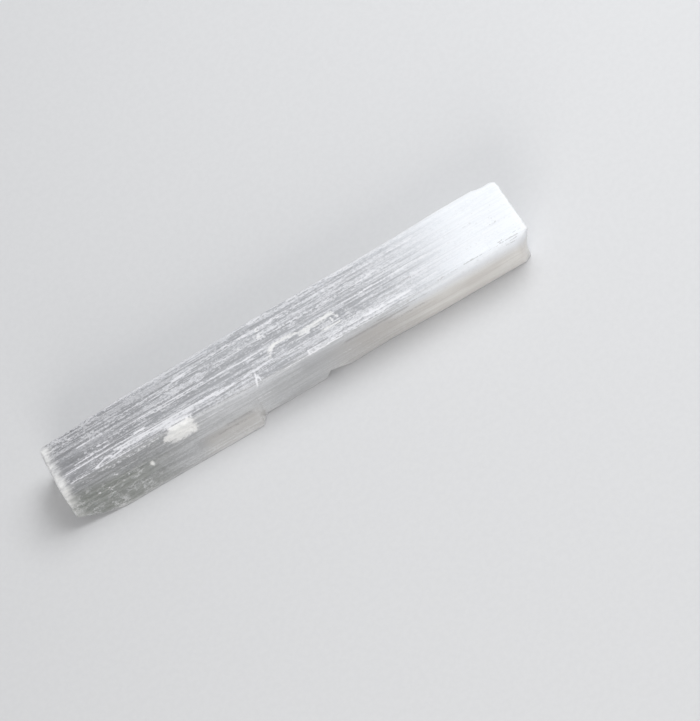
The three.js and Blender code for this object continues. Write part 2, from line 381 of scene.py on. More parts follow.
# Dark fine lines, in the same terms.
DARK_LINES = (
    (-16.4, 10.05, -13.9, 9.95, 0.14, 0.8), (13.4, 14.65, 30, 14.7, 0.18, 1),
    (24, 13.5, 33, 13.5, 0.12, 0.7), (20, 14, 36, 14.1, 0.14, 0.7), (24.5, 15.9, 34, 15.8, 0.16, 0.6),
    (37, 12.7, 47, 12.7, 0.14, 0.5), (47.3, 12.6, 61.8, 12.5, 0.12, 0.8),
    (57.8, 13.7, 60.2, 13.8, 0.12, 0.7), (56, 12.1, 58.6, 12, 0.12, 0.6),
    (59.4, 13.2, 61.6, 13.1, 0.12, 0.7), (51.2, 4.75, 53.6, 4.5, 0.14, 0.4),
    (60, 11.6, 62.4, 11.7, 0.12, 0.5), (-22, 17.6, -15.5, 17.8, 0.3, 0.7),
    (-26, 18.6, -18, 18.8, 0.22, 0.6), (47.7, 4.1, 48.1, 4.1, 0.2, 0.45),
    (58.4, 7.4, 58.8, 7.4, 0.24, 0.45), (5, 5.4, 20, 5.3, 0.3, 0.2), (24, 8.4, 34, 8.4, 0.2, 0.5),
    (20, 9.9, 33, 9.9, 0.2, 0.5),
)

# White bruises: x and slope of the middle, half length, half width, squareness, strength.
BRUISES = (
    # The square white patch on the front face, its tail, its foot, the cloud over it and two spots.
    (-31.9, 13.2, 3.5, 1.9, 5, 1), (-35.2, 13.5, 2, 0.9, 2, 0.95), (-29.5, 14.4, 1, 1, 2, 1),
    (-29.7, 11.9, 1.2, 0.8, 2, 1), (-34.5, 15.3, 0.5, 0.6, 2, 0.7), (-42.3, 16.7, 0.62, 0.62, 2, 0.85),
    # Chalky spots near the splinter and the chip.
    (-12.9, 21, 0.8, 1.1, 2, 0.5), (9.6, 19, 1.6, 0.5, 2, 0.5),
)

# Crushed lines, in the same terms as the streaks.
CRACKS = (
    # The long curved crack: left foot, back, patches under it, right foot, line under it, spot beyond.
    (-4.5, 8.4, -4.2, 7.2, 0.5, 0.8), (-4.2, 7.2, -2.6, 6.2, 0.5, 0.95),
    (-2.6, 6.2, 2.2, 6.35, 0.42, 0.85), (2.2, 6.35, 5.6, 6.8, 0.36, 0.78),
    (5.6, 6.8, 13.2, 6.6, 0.5, 0.86), (4.2, 7.5, 6.6, 7.4, 0.45, 0.82), (8, 7.3, 11.5, 7.2, 0.34, 0.66),
    (13.3, 6.7, 14.5, 8.2, 0.4, 0.66), (12.6, 7.3, 12.9, 8.4, 0.3, 0.8), (9.6, 9.2, 14.2, 9.3, 0.4, 0.74),
    (17, 7.5, 17.3, 9.8, 0.5, 0.55),
    # The smear above it and its bright foot, and a smaller smear to the left.
    (-4.6, 0.2, -4.2, 2.6, 0.7, 0.5), (-4.9, 2.9, -4.3, 2.9, 0.22, 0.8),
    (-10.8, 2.8, -10.2, 3.4, 0.6, 0.5),
)

# Soft darker places and clearer bands, in the same terms as the streaks.
GLOOM = (
    (-61, 5.6, -57.4, 5.8, 1.6, 0.95), (-57.5, 5, -38, 4.9, 0.7, 0.65), (-60, 13.6, -34, 13.8, 0.8, 0.15),
    (-44, 14.6, -30, 15.6, 1.2, 0.3), (-30, 7.1, -11, 7.1, 0.6, 0.8), (-36, 2.6, -12, 2.5, 0.5, 0.4),
    (-24, 8.3, -6, 8.6, 0.5, 0.3), (-20, 4.7, 2, 4.5, 0.8, 0.65), (0.5, 8.5, 8, 8.5, 0.4, 0.5),
    (2, 4.6, 24, 4.8, 0.6, 0.4), (18.5, 8.6, 34, 8.5, 0.6, 0.5), (26, 6.9, 40, 7, 0.4, 0.4),
    # The last stroke on the next line is a painted shade on the small break facet at the right end's foot.
    (2, 15.4, 24, 15.3, 1.6, 0.9), (46, 17.6, 54, 17, 1, 0.5), (61.8, 14.5, 61, 17.5, 0.8, 0.6),
    (-30, 18.4, -15, 18.7, 1, 0.9), (-8, 17.2, 12, 17, 1.8, 0.4), (33, 9.9, 41, 9.9, 0.6, 0.3),
    (-56, 0.8, -28, 0.7, 0.8, 0.4), (22, 1, 36, 1, 1.2, 0.35),
)


def slope_of(y, z):
    """How far down the slope a point lies, in millimetres."""
    return SLOPE_TOP - y * math.sin(SLOPE) - z * math.cos(SLOPE)


# How far past its ends and beside its middle a stroke is looked for, and how far one that runs along
# the fibres takes to fade.
STROKE_PAST = 3
STROKE_BESIDE = 7
STROKE_TAPER = 0.6


def strokes(marks, x, slope):
    """The strongest of many strokes: full strength on its line, half at its half width, none at twice that.

    Beyond its ends a stroke fades over its half width, or more slowly where it runs along the fibres.
    """
    total = np.zeros_like(x)
    for x0, s0, x1, s1, half, strength in marks:
        near = (x > min(x0, x1) - STROKE_PAST) & (x < max(x0, x1) + STROKE_PAST)
        near &= np.abs(slope - (s0 + s1) / 2) < STROKE_BESIDE
        px, ps = x[near], slope[near]
        run = np.hypot(x1 - x0, s1 - s0)
        ux, us = (x1 - x0) / run, (s1 - s0) / run
        along = (px - x0) * ux + (ps - s0) * us
        past = np.maximum(np.maximum(-along, along - run), 0)
        side = (px - x0) * us - (ps - s0) * ux
        taper = max(half, STROKE_TAPER * abs(ux))
        away = np.hypot(past / taper, side / half)
        total[near] = np.maximum(total[near], strength * np.clip(1 - away / 2, 0, 1))
    return total


def bruises(x, slope):
    """White bruises: full well inside an oval, half on its rim and none well outside.

    An oval's rim is where the sum of both shares, each raised to its squareness, is one.
    """
    total = np.zeros_like(x)
    for cx, cs, long, wide, square, strength in BRUISES:
        away = (np.abs((x - cx) / long) ** square + np.abs((slope - cs) / wide) ** square) ** (1 / square)
        total = np.maximum(total, strength * np.clip(1.5 - away, 0, 1))
    return total


def ring_layout(rings, cap_rings):
    """Each ring's share of the full section, and its place along the blade, as columns.

    On an end face the section shrinks by an even share from ring to ring. A quarter circle rounds its rim.
    """
    shrink = np.linspace(0, 1, cap_rings + 1)[1:] * CAP_SHARE
    quarter = np.linspace(0, 1, RIM_RINGS + 2)[1:-1] * math.pi / 2
    rim_share = 1 - (1 - CAP_SHARE) * (1 - np.sin(quarter))
    rim_in = RIM_DEEP * (1 - np.cos(quarter))
    left, right = np.full(cap_rings, -END), np.full(cap_rings, END)
    scale = np.concatenate((shrink, rim_share, np.ones(rings), rim_share[::-1], shrink[::-1]))
    place = np.concatenate((left, -END + rim_in, ring_places(rings), END - rim_in[::-1], right))
    return scale[:, None], place[:, None]


def unbroken(a, u, place):
    """The blade before its breaks, from shares of the width and height and the place along it.

    Front and back run from edge to edge. The front bends out with a power of the height still below
    the top, its splinter with a higher one, and the back's steps with a power of the height.
    """
    fade = smooth(END - END_FALL_REACH, END, place)
    low = 1 - smooth(END_FALL_TOP, 1, u)
    x = place - fade * (END_FALL_BACK * a * (1 - low) + END_FALL_FOOT * low)
    ridge, calm_foot = edge_at(RIDGE, place), edge_at(FRONT_CALM_EDGE, place)
    splinter = edge_at(FRONT_FOOT_EDGE, place) - calm_foot
    heel, calm_back = edge_at(BACK_FOOT_EDGE, place), edge_at(BACK_CALM_EDGE, place)
    steps = edge_at(BACK_TOP_EDGE, place) - calm_back
    front = ridge + (calm_foot - ridge) * (1 - u) ** FRONT_HOLLOW + splinter * (1 - u) ** SPLINTER_HOLLOW
    rear = heel + (calm_back - heel) * u + steps * u ** STEP_HOLLOW
    return x, front + (rear - front) * a, u * (TALL - TOP_FALL * (1 - a))


def fibre_depth(rng, turn, x, front_face):
    """Depth of the fibres, and its finest noise: three smooth noises and two levels of split fibres."""
    broad = waves(rng, turn, x, *BROAD_WAVES)
    ridges = waves(rng, turn, x, *RIDGE_WAVES)
    fine = waves(rng, turn, x, *FINE_WAVES)
    split = planks(rng, turn, x, *SPLIT_FIBRES)
    thin = planks(rng, turn, x, *THIN_FIBRES)
    left = 1 - smooth(-50, -8, x)
    rougher = 1 + 1.4 * front_face * left
    depth = (EVEN_DEPTH + BROAD_DEPTH * (broad + 1) + RIDGE_DEPTH * (ridges + 1)
             + FINE_DEPTH * (fine + 1) * rougher + SPLIT_DEPTH * smooth(0.45, 0.6, split) * rougher
             + THIN_DEPTH * smooth(0.5, 0.6, thin))
    return depth, fine


def tears(rng, y, z, cells, high):
    """Smooth noise from -1 to 1 on cells across and up an end face."""
    return Lattice(rng, cells).at(np.mod(y / END_SPAN + 0.5, 1), (z + 2) / high)


def blade_surface(sides, rings, cap_rings, relief):
    """Points and marks of the whole blade as (rings, sides) arrays.

    Rings run from the left end's middle outwards, along the blade, and inwards to the right end's middle.
    The broken shape is pushed inwards by the depth of its fibres, crushed places and marks. Then the
    ends are torn back along the blade.
    """
    rng = np.random.default_rng(SEED)
    across, up, turn = unit_section(sides)
    scale, place = ring_layout(rings, cap_rings)
    turn = np.broadcast_to(turn, (len(scale), sides))
    a = 0.5 + (across - 0.5) * scale
    u = 0.5 + (up - 0.5) * scale
    x, y, z = unbroken(a, u, place)
    y, z = carve(x, y, z)

    # How far each point faces the way that the slope is seen from, and how far down it lies.
    ny, nz = section_normals(y, z)
    seen = smooth(0.05, 0.4, nz * math.sin(SLOPE) - ny * math.cos(SLOPE))
    slope = slope_of(y, z)
    front_face = smooth(0.55, 0.95, -ny)
    milk = milkiness(x, front_face)

    # Fibres are shallower on milky stone and on the underside.
    calm = relief * (1 - 0.75 * smooth(0.45, 1.0, milk)) * (0.35 + 0.65 * smooth(0.0, 0.06, u))
    fibres, fine = fibre_depth(rng, turn, x, front_face)
    streak = strokes(STREAKS, x, slope) * seen
    dark = strokes(DARK_LINES, x, slope) * seen
    bruise = np.maximum(bruises(x, slope), strokes(CRACKS, x, slope)) * seen
    gravel = waves(rng, turn, x, *GRAVEL_WAVES)
    crushed = smooth(0.25, 0.8, bruise) * (CRUSHED_DEPTH + GRAVEL_DEPTH * (gravel + 1))
    depth = calm * fibres + relief * (crushed + STREAK_DEPTH * streak + DARK_DEPTH * dark)
    rim_or_body = scale >= CAP_SHARE
    y = np.where(rim_or_body, y - ny * depth, y)
    z = np.where(rim_or_body, z - nz * depth, z)

    clumps = tears(rng, y, z, *CLUMP_CELLS)
    tufts = tears(rng, y, z, *TUFT_CELLS)
    near_end = smooth(END - TORN_FROM, END - TORN_FULL, np.abs(place)) * np.ones_like(x)
    x = x - np.sign(place) * relief * near_end * (CLUMP_DEPTH * (clumps + 1) + TUFT_DEPTH * (tufts + 1))

    # Distances from the back top edge and from the nearer foot edge, for the painted highlight along these
    # edges.
    from_back_top = np.hypot(SECTION_WIDTH * (1 - a), TALL * (1 - u))
    from_feet = np.hypot(SECTION_WIDTH * np.minimum(a, 1 - a), TALL * u)
    # The last few millimetres of the left end are pale, less so down the front face: a painted glow of light
    # piped along the fibres.
    glow = 1 - smooth(-END + 0.6, -END + 3.8, x + 0.6 * fine)
    on_side = smooth(0.93, 1.0, scale)
    under_ridge = 1 - smooth(0.4, 0.9, milk) * (1 - smooth(0.05, 0.5, 1 - u))
    # A painted warm bounce on the right part of the front face, and a brownish tint low on the front face
    # over the splinter.
    painted_warm_bounce = smooth(2, 22, x) * smooth(12.5, 15.5, slope)
    warm_splinter = smooth(-31, -26.5, x) * (1 - smooth(-13, -11.5, x)) * smooth(16, 19.5, slope)
    scored = smooth(14.2, 16.5, slope + 0.12 * np.clip(-48 - x, 0, 12))
    # The painted glow of the left end, and the frost of the right end's last millimetre.
    glow_and_frost_share = 0.95 * glow * (1 - 0.45 * smooth(13, 17, slope)) + 0.5 * smooth(END - 1.0, END, x)
    marks = {
        "streak": streak,
        "dark": dark,
        "bruise": bruise,
        "milk": milk,
        # front: where the front face takes its own darker copies of the stone's colours, a painted shade of
        # the face turned from the light. Where the stone is milky it fades out near the ridge.
        "front": smooth(0.2, 1.0, -ny) * under_ridge * on_side,
        "side": smooth(0.2, 1.0, np.abs(ny)) * on_side,
        "cap": (1 - on_side) * np.ones_like(x),
        # warm: the painted warm bounce and the brownish tint over the splinter.
        "warm": np.maximum(painted_warm_bounce, 0.8 * warm_splinter),
        # rim: the painted glow at the left end, and the frost of the right end.
        "rim": np.clip(glow_and_frost_share, 0, 1),
        # edge: a painted highlight along the back top edge and the foot edges.
        "edge": 1 - smooth(0.35, 0.95, np.minimum(from_back_top, from_feet)),
        "gloom": strokes(GLOOM, x, slope) * seen,
        "scratch": front_face * (1 - smooth(-47, -33, x)) * scored,
    }
    return x, y, z, marks


def milkiness(x, front_face):
    """How milky the stone is: clear grey on the left, cloudy from the middle, full towards the right end.

    The front face is cloudier than the top in two stretches that fade in and out along the blade.
    """
    along = 0.10 + 0.34 * smooth(-62, -8, x) + 0.56 * smooth(17, 54, x)
    splinter = 0.22 * front_face * smooth(-44, -24, x) * (1 - smooth(-14, 8, x))
    middle = 0.19 * front_face * smooth(-8, 10, x) * (1 - smooth(32, 52, x))
    clearer_top = 0.06 * (1 - front_face) * smooth(-40, -12, x) * (1 - smooth(40, 54, x))
    return np.clip(along + splinter + middle - clearer_top, 0, 1)


def section_normals(y, z):
    """The outward way in each section: the step along the outline turned a quarter turn."""
    dy = np.roll(y, -1, axis=1) - np.roll(y, 1, axis=1)
    dz = np.roll(z, -1, axis=1) - np.roll(z, 1, axis=1)
    size = np.maximum(np.hypot(dy, dz), 1e-9)
    return dz / size, -dy / size


# --------------------------------------------------
# Meshes
# --------------------------------------------------

def tube_faces(rings, sides):
    """Quads of a closed tube of rings, and the triangles that join its end rings to two end points.

    The end points follow the rings' points: first the one at the first ring, then the one at the last.
    """
    ring = np.arange(rings - 1)[:, None] * sides
    side = np.arange(sides)
    after = (side + 1) % sides
    quads = np.stack((ring + side, ring + after, ring + sides + after, ring + sides + side), axis=-1)
    last = (rings - 1) * sides
    first_fan = np.stack((np.full(sides, rings * sides), after, side), axis=-1)
    last_fan = np.stack((np.full(sides, rings * sides + 1), last + side, last + after), axis=-1)
    return quads.reshape(-1, 4), np.concatenate((first_fan, last_fan))


def mesh_object(name, points, quads, triangles, marks=None):
    """A mesh object at the origin from arrays of points, quads and triangles, with point attributes."""
    mesh = bpy.data.meshes.new(name)
    loops = np.concatenate((quads.ravel(), triangles.ravel())).astype(np.int32)
    sizes = np.concatenate((np.full(len(quads), 4), np.full(len(triangles), 3)))
    mesh.vertices.add(len(points))
    mesh.vertices.foreach_set("co", points.astype(np.float32).ravel())
    mesh.loops.add(len(loops))
    mesh.loops.foreach_set("vertex_index", loops)
    mesh.polygons.add(len(sizes))
    mesh.polygons.foreach_set("loop_start", (np.cumsum(sizes) - sizes).astype(np.int32))
    mesh.polygons.foreach_set("use_smooth", np.ones(len(sizes), bool))
    mesh.update(calc_edges=True)
    if mesh.validate():
        raise RuntimeError(name + " has faulty faces")
    for mark, values in (marks or {}).items():
        layer = mesh.attributes.new(mark, "FLOAT", "POINT")
        layer.data.foreach_set("value", values.astype(np.float32).ravel())
    ob = bpy.data.objects.new(name, mesh)
    bpy.context.scene.collection.objects.link(ob)
    return ob


def face_outwards(points, quads, triangles):
    """Turns every face over if the closed surface's signed volume is below zero."""
    fans = np.concatenate((quads[:, :3], quads[:, [0, 2, 3]], triangles))
    a, b, c = (points[fans[:, k]] for k in range(3))
    if np.einsum("ij,ij->", a, np.cross(b, c)) < 0:
        return quads[:, ::-1], triangles[:, ::-1]
    return quads, triangles


def make_blade(shape):
    """The blade's closed mesh: a tube of rings with a point at the middle of each end."""
    x, y, z, marks = blade_surface(shape.sides, shape.rings, shape.cap_rings, shape.relief)
    rings, sides = x.shape
    points = np.stack((x, y, z), axis=-1).reshape(-1, 3)
    ends = [points[:sides].mean(axis=0), points[-sides:].mean(axis=0)]
    points = np.concatenate((points, ends))
    low, high = points.min(axis=0), points.max(axis=0)
    shift = np.array((-(low[0] + high[0]) / 2, -(low[1] + high[1]) / 2, -low[2]))
    points = (points + shift) * MM + (MIDDLE[0], MIDDLE[1], LOW[2])

    quads, triangles = face_outwards(points, *tube_faces(rings, sides))
    padded = {name: np.append(grid.ravel(), (grid[0, 0], grid[-1, 0])) for name, grid in marks.items()}
    return mesh_object("blade_body", points, quads, triangles, padded)


# Veils: rings and sides of each, the shares of its length at its first and last ring, and the ranges
# of length, half width and half thickness.
VEIL_RINGS = 9
VEIL_SIDES = 6
VEIL_RING_SPAN = (0.04, 0.96)
VEIL_LONG = (2.5, 15)
VEIL_WIDE = (0.10, 0.34)
VEIL_THICK = (0.015, 0.03)

# How far the veils' middles keep from the ridge, the top and the foot, and from both edges of the top
# face together, and how much stone lies over them besides their depth.
VEIL_INSET = 2
VEIL_INSETS_ACROSS = 3.5
VEIL_COVER = 0.5

# The share of veils under the top face, the least depth, and how far they sway and how often.
VEILS_ON_TOP = 0.68
VEIL_SHALLOW = 0.35
VEIL_SWAY = 0.12
VEIL_BENDS = (0.4, 1.4)

# Where the middles begin, the length they spread over, and the power that crowds them towards the
# left. The tips keep between two limits.
VEIL_FIRST = -58
VEIL_SPAN = 112
VEIL_CROWD = 1.2
VEIL_LIMITS = (-60, 57)


def make_veils(count, depth_most):
    """White veils sealed inside: flat lens-shaped slivers along the fibres, all joined in one mesh.

    Each sliver is a closed tube of flat rings. Their half width follows the root of a sine along it, and
    they sway sideways by a sine. Slivers under the top face lie flat, and those under the front stand up.
    """
    rng = np.random.default_rng(SEED + 1)
    t = np.linspace(*VEIL_RING_SPAN, VEIL_RINGS)
    turn = np.arange(VEIL_SIDES) * 2 * math.pi / VEIL_SIDES
    long = rng.uniform(*VEIL_LONG, count)
    wide = rng.uniform(*VEIL_WIDE, count)
    thick = rng.uniform(*VEIL_THICK, count)
    cx = VEIL_FIRST + VEIL_SPAN * rng.random(count) ** VEIL_CROWD
    depth = rng.uniform(VEIL_SHALLOW, depth_most, count)
    on_top = rng.random(count) < VEILS_ON_TOP
    place = rng.random(count)
    cx = np.clip(cx, VEIL_LIMITS[0] + long / 2, VEIL_LIMITS[1] - long / 2)
    ridge, back = edge_at(RIDGE, cx), edge_at(BACK_TOP_EDGE, cx)
    across = ridge + VEIL_INSET + (back - ridge - VEIL_INSETS_ACROSS) * place
    cy = np.where(on_top, across, ridge + VEIL_COVER + depth)
    cz = np.where(on_top, TALL - VEIL_COVER - depth, VEIL_INSET + (TALL - 2 * VEIL_INSET) * place)
    swell = np.sqrt(np.sin(math.pi * t))
    x = cx[:, None, None] + long[:, None, None] * (t[None, :, None] - 0.5) + 0 * turn
    bends = rng.uniform(*VEIL_BENDS, count)
    sway = VEIL_SWAY * np.sin(2 * math.pi * (t[None, :] * bends[:, None] + place[:, None]))
    flat = wide[:, None, None] * swell[None, :, None] * np.cos(turn)
    thin = thick[:, None, None] * swell[None, :, None] * np.sin(turn)
    top = on_top[:, None, None]
    y = cy[:, None, None] + sway[:, :, None] + np.where(top, flat, thin)
    z = cz[:, None, None] + np.where(top, thin, flat)
    ends = np.stack((
        np.stack((cx - long / 2, cy + sway[:, 0], cz), axis=-1),
        np.stack((cx + long / 2, cy + sway[:, -1], cz), axis=-1)), axis=1)
    grid = np.stack((x, y, z), axis=-1).reshape(count, -1, 3)
    points = np.concatenate((grid, ends), axis=1)
    first = np.arange(count)[:, None, None] * points.shape[1]
    points = points.reshape(-1, 3)

    quads, fans = (faces + first for faces in tube_faces(VEIL_RINGS, VEIL_SIDES))
    flat_ones = face_outwards(points, quads[on_top].reshape(-1, 4), fans[on_top].reshape(-1, 3))
    upright = face_outwards(points, quads[~on_top].reshape(-1, 4), fans[~on_top].reshape(-1, 3))
    quads, fans = (np.concatenate(pair) for pair in zip(flat_ones, upright))
    return mesh_object("sealed_in_veils", points * MM + (MIDDLE[0], MIDDLE[1], LOW[2]), quads, fans)


# --------------------------------------------------
# Materials
# --------------------------------------------------

# Gypsum's index of refraction. How far light scatters in the stone and the height of its fine bump, in
# metres. How far apart the lanes begin in their noise.
IOR = 1.52
SCATTER = 0.0022
BUMP_HEIGHT = 0.0001
LANE_SPREAD = 900.0


class Tree:
    """Short calls for building one material's nodes."""

    def __init__(self, name):
        self.material = bpy.data.materials.new(name)
        self.material.use_nodes = True
        self.nodes = self.material.node_tree.nodes
        self.nodes.clear()

    def add(self, kind, inputs=None, **settings):
        """A node of this kind. An input's value is a number, a colour or another node's output."""
        node = self.nodes.new("ShaderNode" + kind)
        for name, value in settings.items():
            setattr(node, name, value)
        for name, value in (inputs or {}).items():
            if isinstance(value, bpy.types.NodeSocket):
                self.material.node_tree.links.new(value, node.inputs[name])
            else:
                node.inputs[name].default_value = value
        return node

    def maths(self, operation, first, second=0.0):
        """The result of one Math node."""
        return self.add("Math", {0: first, 1: second}, operation=operation).outputs[0]

    def ramp(self, value, low, high, to_low=0.0, to_high=1.0):
        """A smooth step from low to high, carried to another range."""
        return self.add("MapRange", {
            "Value": value, "From Min": low, "From Max": high, "To Min": to_low, "To Max": to_high,
        }, interpolation_type="SMOOTHSTEP").outputs["Result"]

    def mix(self, factor, first, second):
        """Two colours mixed by a factor. The Mix node's sockets for colours are chosen by number."""
        return self.add("Mix", {0: factor, 6: first, 7: second}, data_type="RGBA").outputs[2]

    def mark(self, name):
        """A point attribute of the piece."""
        return self.add("Attribute", attribute_name=name, attribute_type="GEOMETRY").outputs["Fac"]

    def spread(self, along, across):
        """Object coordinates stretched along the fibres: steps per metre along and across them."""
        where = self.add("TexCoord").outputs["Object"]
        return self.add("Mapping", {"Vector": where, "Scale": (along, across, across)}).outputs[0]

    def fibres(self, along, across, detail=3.0, rough=0.6):
        """Smooth noise stretched along the fibres."""
        return self.add("TexNoise", {
            "Vector": self.spread(along, across), "Scale": 1.0, "Detail": detail, "Roughness": rough,
        }).outputs["Fac"]

    def slivers(self, along, across):
        """Split fibres: long thin cells with pointed ends, each with its own even level from 0 to 1."""
        cells = self.add("TexVoronoi", {"Vector": self.spread(along, across), "Scale": 1.0})
        return self.add("SeparateColor", {"Color": cells.outputs["Color"]}).outputs[0]

    def lanes(self, along, across, detail=1.0):
        """Straight fibres: lanes as long as the stone, each with its own noise along it, from 0 to 1.

        A lane's level sets where in one endless noise the lane begins.
        """
        lane = self.slivers(0, across)
        place = self.add("SeparateXYZ", {"Vector": self.spread(along, along)}).outputs[0]
        start = self.maths("ADD", place, self.product(lane, LANE_SPREAD))
        noise = self.add("TexNoise", {
            "W": start, "Scale": 1.0, "Detail": detail, "Roughness": 0.6,
        }, noise_dimensions="1D").outputs["Fac"]
        return self.ramp(noise, 0.3, 0.7)

    def crackle(self, along, across):
        """Distance to the nearest border of bent cells: fine cracks that meet at corners."""
        where = self.spread(along, across)
        bend = self.add("TexNoise", {"Vector": where, "Scale": 1.7, "Detail": 1.0}).outputs["Color"]
        bent = self.add("VectorMath", {0: where, 1: bend}, operation="ADD").outputs[0]
        cells = self.add("TexVoronoi", {"Vector": bent, "Scale": 1.0}, feature="DISTANCE_TO_EDGE")
        return cells.outputs["Distance"]

    def product(self, *values):
        """Several values multiplied together."""
        result = values[0]
        for value in values[1:]:
            result = self.maths("MULTIPLY", result, value)
        return result

    def most(self, *values):
        """The largest of several values."""
        result = values[0]
        for value in values[1:]:
            result = self.maths("MAXIMUM", result, value)
        return result

    def broken(self, mark, noise, depth):
        """A soft mark cut off at about half its strength, its border pushed in and out by noise."""
        shifted = self.maths("ADD", mark, self.product(self.maths("SUBTRACT", noise, 0.5), depth))
        return self.ramp(shifted, 0.32, 0.62)


def rgba(tint):
    """A colour property as four numbers."""
    return (*tint, 1.0)


def selenite_material(look):
    """Fibrous selenite, clear grey to milky white, with white streaks and bruises, painted light and a fine
    fibre bump.
    """
    tree = Tree("fibrous_selenite")
    streak, bruise, milk = tree.mark("streak"), tree.mark("bruise"), tree.mark("milk")
    front, scratch, edge = tree.mark("front"), tree.mark("scratch"), tree.mark("edge")
    side, warm, cap = tree.mark("side"), tree.mark("warm"), tree.mark("cap")
    dark, rim, gloom = tree.mark("dark"), tree.mark("rim"), tree.mark("gloom")

    # Noises, with their steps per metre along and across the fibres.
    stubs = tree.slivers(0, 2400)
    broad = tree.fibres(11, 420, 2)
    bands = tree.fibres(10, 1000, 2)
    clumps = tree.fibres(75, 1100, 2)
    fine = tree.fibres(70, 2700, 2, 0.5)
    grain = tree.fibres(1900, 2600, 2)
    sparks = tree.lanes(1100, 3700, 2)
    dashes = tree.lanes(170, 3700)
    threads = tree.lanes(22, 3000, 0)
    cells = tree.slivers(55, 3400)

    # White flecks: lanes broken into dashes, shown where the crowd of them is high. Drawn streaks over
    # them are less broken, and long hairs run between them. Like the streaks, they are partly painted
    # highlights of fibre edges.
    crowd = tree.product(
        tree.ramp(bands, 0.34, 0.62, 0.20, 0.44), tree.ramp(clumps, 0.34, 0.64, 0.72, 1.25),
        tree.ramp(milk, 0.5, 1.0, 1.0, 0.75), tree.ramp(side, 0.0, 1.0, 1.0, 0.8))
    crowd = tree.product(crowd, tree.ramp(gloom, 0.0, 0.8, 1.0, 0.5))
    # The painted edge highlight crowds the white flecks along the edges.
    crowd = tree.most(crowd, tree.product(streak, 0.95), tree.product(edge, 0.62))
    level = tree.maths("ADD", tree.product(sparks, 0.5), tree.product(dashes, 0.5))
    lifted = tree.maths("ADD", crowd, tree.maths("SUBTRACT", level, 0.5))
    flecks = tree.product(tree.ramp(lifted, 0.36, 0.56), tree.ramp(crowd, 0.2, 0.95, 0.50, 1.0))
    drawn = tree.ramp(
        tree.maths("ADD", streak, tree.product(tree.maths("SUBTRACT", level, 0.5), 0.5)), 0.28, 0.62)
    hairs = tree.product(tree.ramp(threads, 0.66, 0.84), tree.ramp(sparks, 0.2, 0.7, 0.3, 0.65))
    flecks = tree.product(
        tree.most(flecks, tree.product(hairs, tree.ramp(gloom, 0.0, 0.8, 1.0, 0.4))),
        tree.ramp(milk, 0.5, 1.0, 1.0, 0.5), tree.ramp(side, 0.0, 1.0, 1.0, 0.5),
        tree.ramp(scratch, 0.0, 1.0, 1.0, 0.4))

    # The scratched zone, everything white with the painted highlights and edge light, the crushed places,
    # and the frosted ends with the painted glow of the left end.
    patchy = tree.fibres(420, 500, 2)
    scored = tree.product(
        scratch, tree.ramp(tree.crackle(520, 860), 0.0, 0.10, 1.0, 0.0), tree.ramp(patchy, 0.36, 0.60))
    frosted = tree.product(scratch, tree.ramp(grain, 0.45, 0.65), tree.ramp(patchy, 0.45, 0.62))
    white = tree.most(
        flecks, tree.product(drawn, 0.85), tree.product(scored, 0.58), tree.product(frosted, 0.5),
        tree.product(edge, 0.45))
    ragged = tree.maths("ADD", tree.product(grain, 0.5), tree.product(level, 0.5))
    crushed = tree.broken(bruise, ragged, 0.9)
    mottle = tree.product(
        crushed, tree.ramp(tree.fibres(500, 900, 3), 0.36, 0.62, 0.68, 1.0),
        tree.ramp(bruise, 0.4, 1.0, 0.6, 1.0))
    # The painted glow of the left end and the frost of both ends, mottled, mixed towards the white of the
    # bruises.
    frost_and_end_glow = tree.product(
        rim, tree.most(tree.ramp(tree.fibres(420, 700, 3), 0.36, 0.62, 0.55, 1.0), tree.product(cap, 0.85)))

    # Colour: clear and milky stone, with painted shade on the front face and a painted cool sky tint on the
    # milky top, shaded between the fibres, then all marks over it.
    clear = tree.mix(tree.ramp(broad, 0.35, 0.65), rgba(look.clear_dark), rgba(look.clear_light))
    clear = tree.mix(front, clear, rgba(look.clear_front))
    clear = tree.mix(tree.product(scratch, 0.85), clear, rgba(look.scratch))
    # Darker brownish patches on the warm part of the front face, broken by noise along the fibres.
    brownish_patch = tree.product(tree.ramp(tree.fibres(30, 330, 3), 0.38, 0.64), warm, 0.35)
    # The painted warm bounce turns the front's cool copy of the milky stone warm.
    cloudy_front = tree.mix(warm, rgba(look.shaded_cool_front), rgba(look.shaded_warm_milk_front))
    cloudy_front = tree.mix(brownish_patch, cloudy_front, rgba(look.brownish_patch))
    cloudy = tree.mix(front, rgba(look.sky_lit_milk_top), cloudy_front)
    ground = tree.mix(milk, clear, cloudy)
    shade = tree.most(
        tree.product(
            tree.ramp(threads, 0.0, 0.35, 0.38, 0.0), tree.ramp(milk, 0.4, 1.0, 1.0, 0.18),
            tree.ramp(side, 0.0, 1.0, 1.0, 0.6)),
        tree.product(tree.ramp(lifted, 0.0, 0.12, 0.25, 0.0), tree.ramp(milk, 0.4, 1.0, 1.0, 0.3)),
        tree.product(gloom, tree.ramp(front, 0.0, 1.0, 0.28, 0.42)), tree.product(cap, stubs, 0.22))
    ground = tree.mix(shade, ground, tree.mix(warm, rgba(look.clear_dark), rgba(look.brownish_patch)))
    ground = tree.mix(white, ground, rgba(look.streak))
    ground = tree.mix(tree.product(tree.broken(dark, level, 0.9), 0.45), ground, rgba(look.line))
    ground = tree.mix(frost_and_end_glow, ground, rgba(look.bruise))
    colour = tree.mix(mottle, ground, rgba(look.bruise))

    # Clearness and gloss: white places are less clear, and crushed ones not at all.
    see = tree.product(
        tree.ramp(milk, 0.0, 1.0, look.see_through_left, look.see_through_right),
        tree.ramp(tree.most(white, frost_and_end_glow), 0.0, 1.0, 1.0, 0.2), tree.ramp(crushed, 0.0, 1.0, 1.0, 0.0))
    gloss = tree.most(tree.ramp(cells, 0.0, 1.0, 0.30, 0.46), tree.ramp(crushed, 0.0, 0.7, 0.2, 0.72))

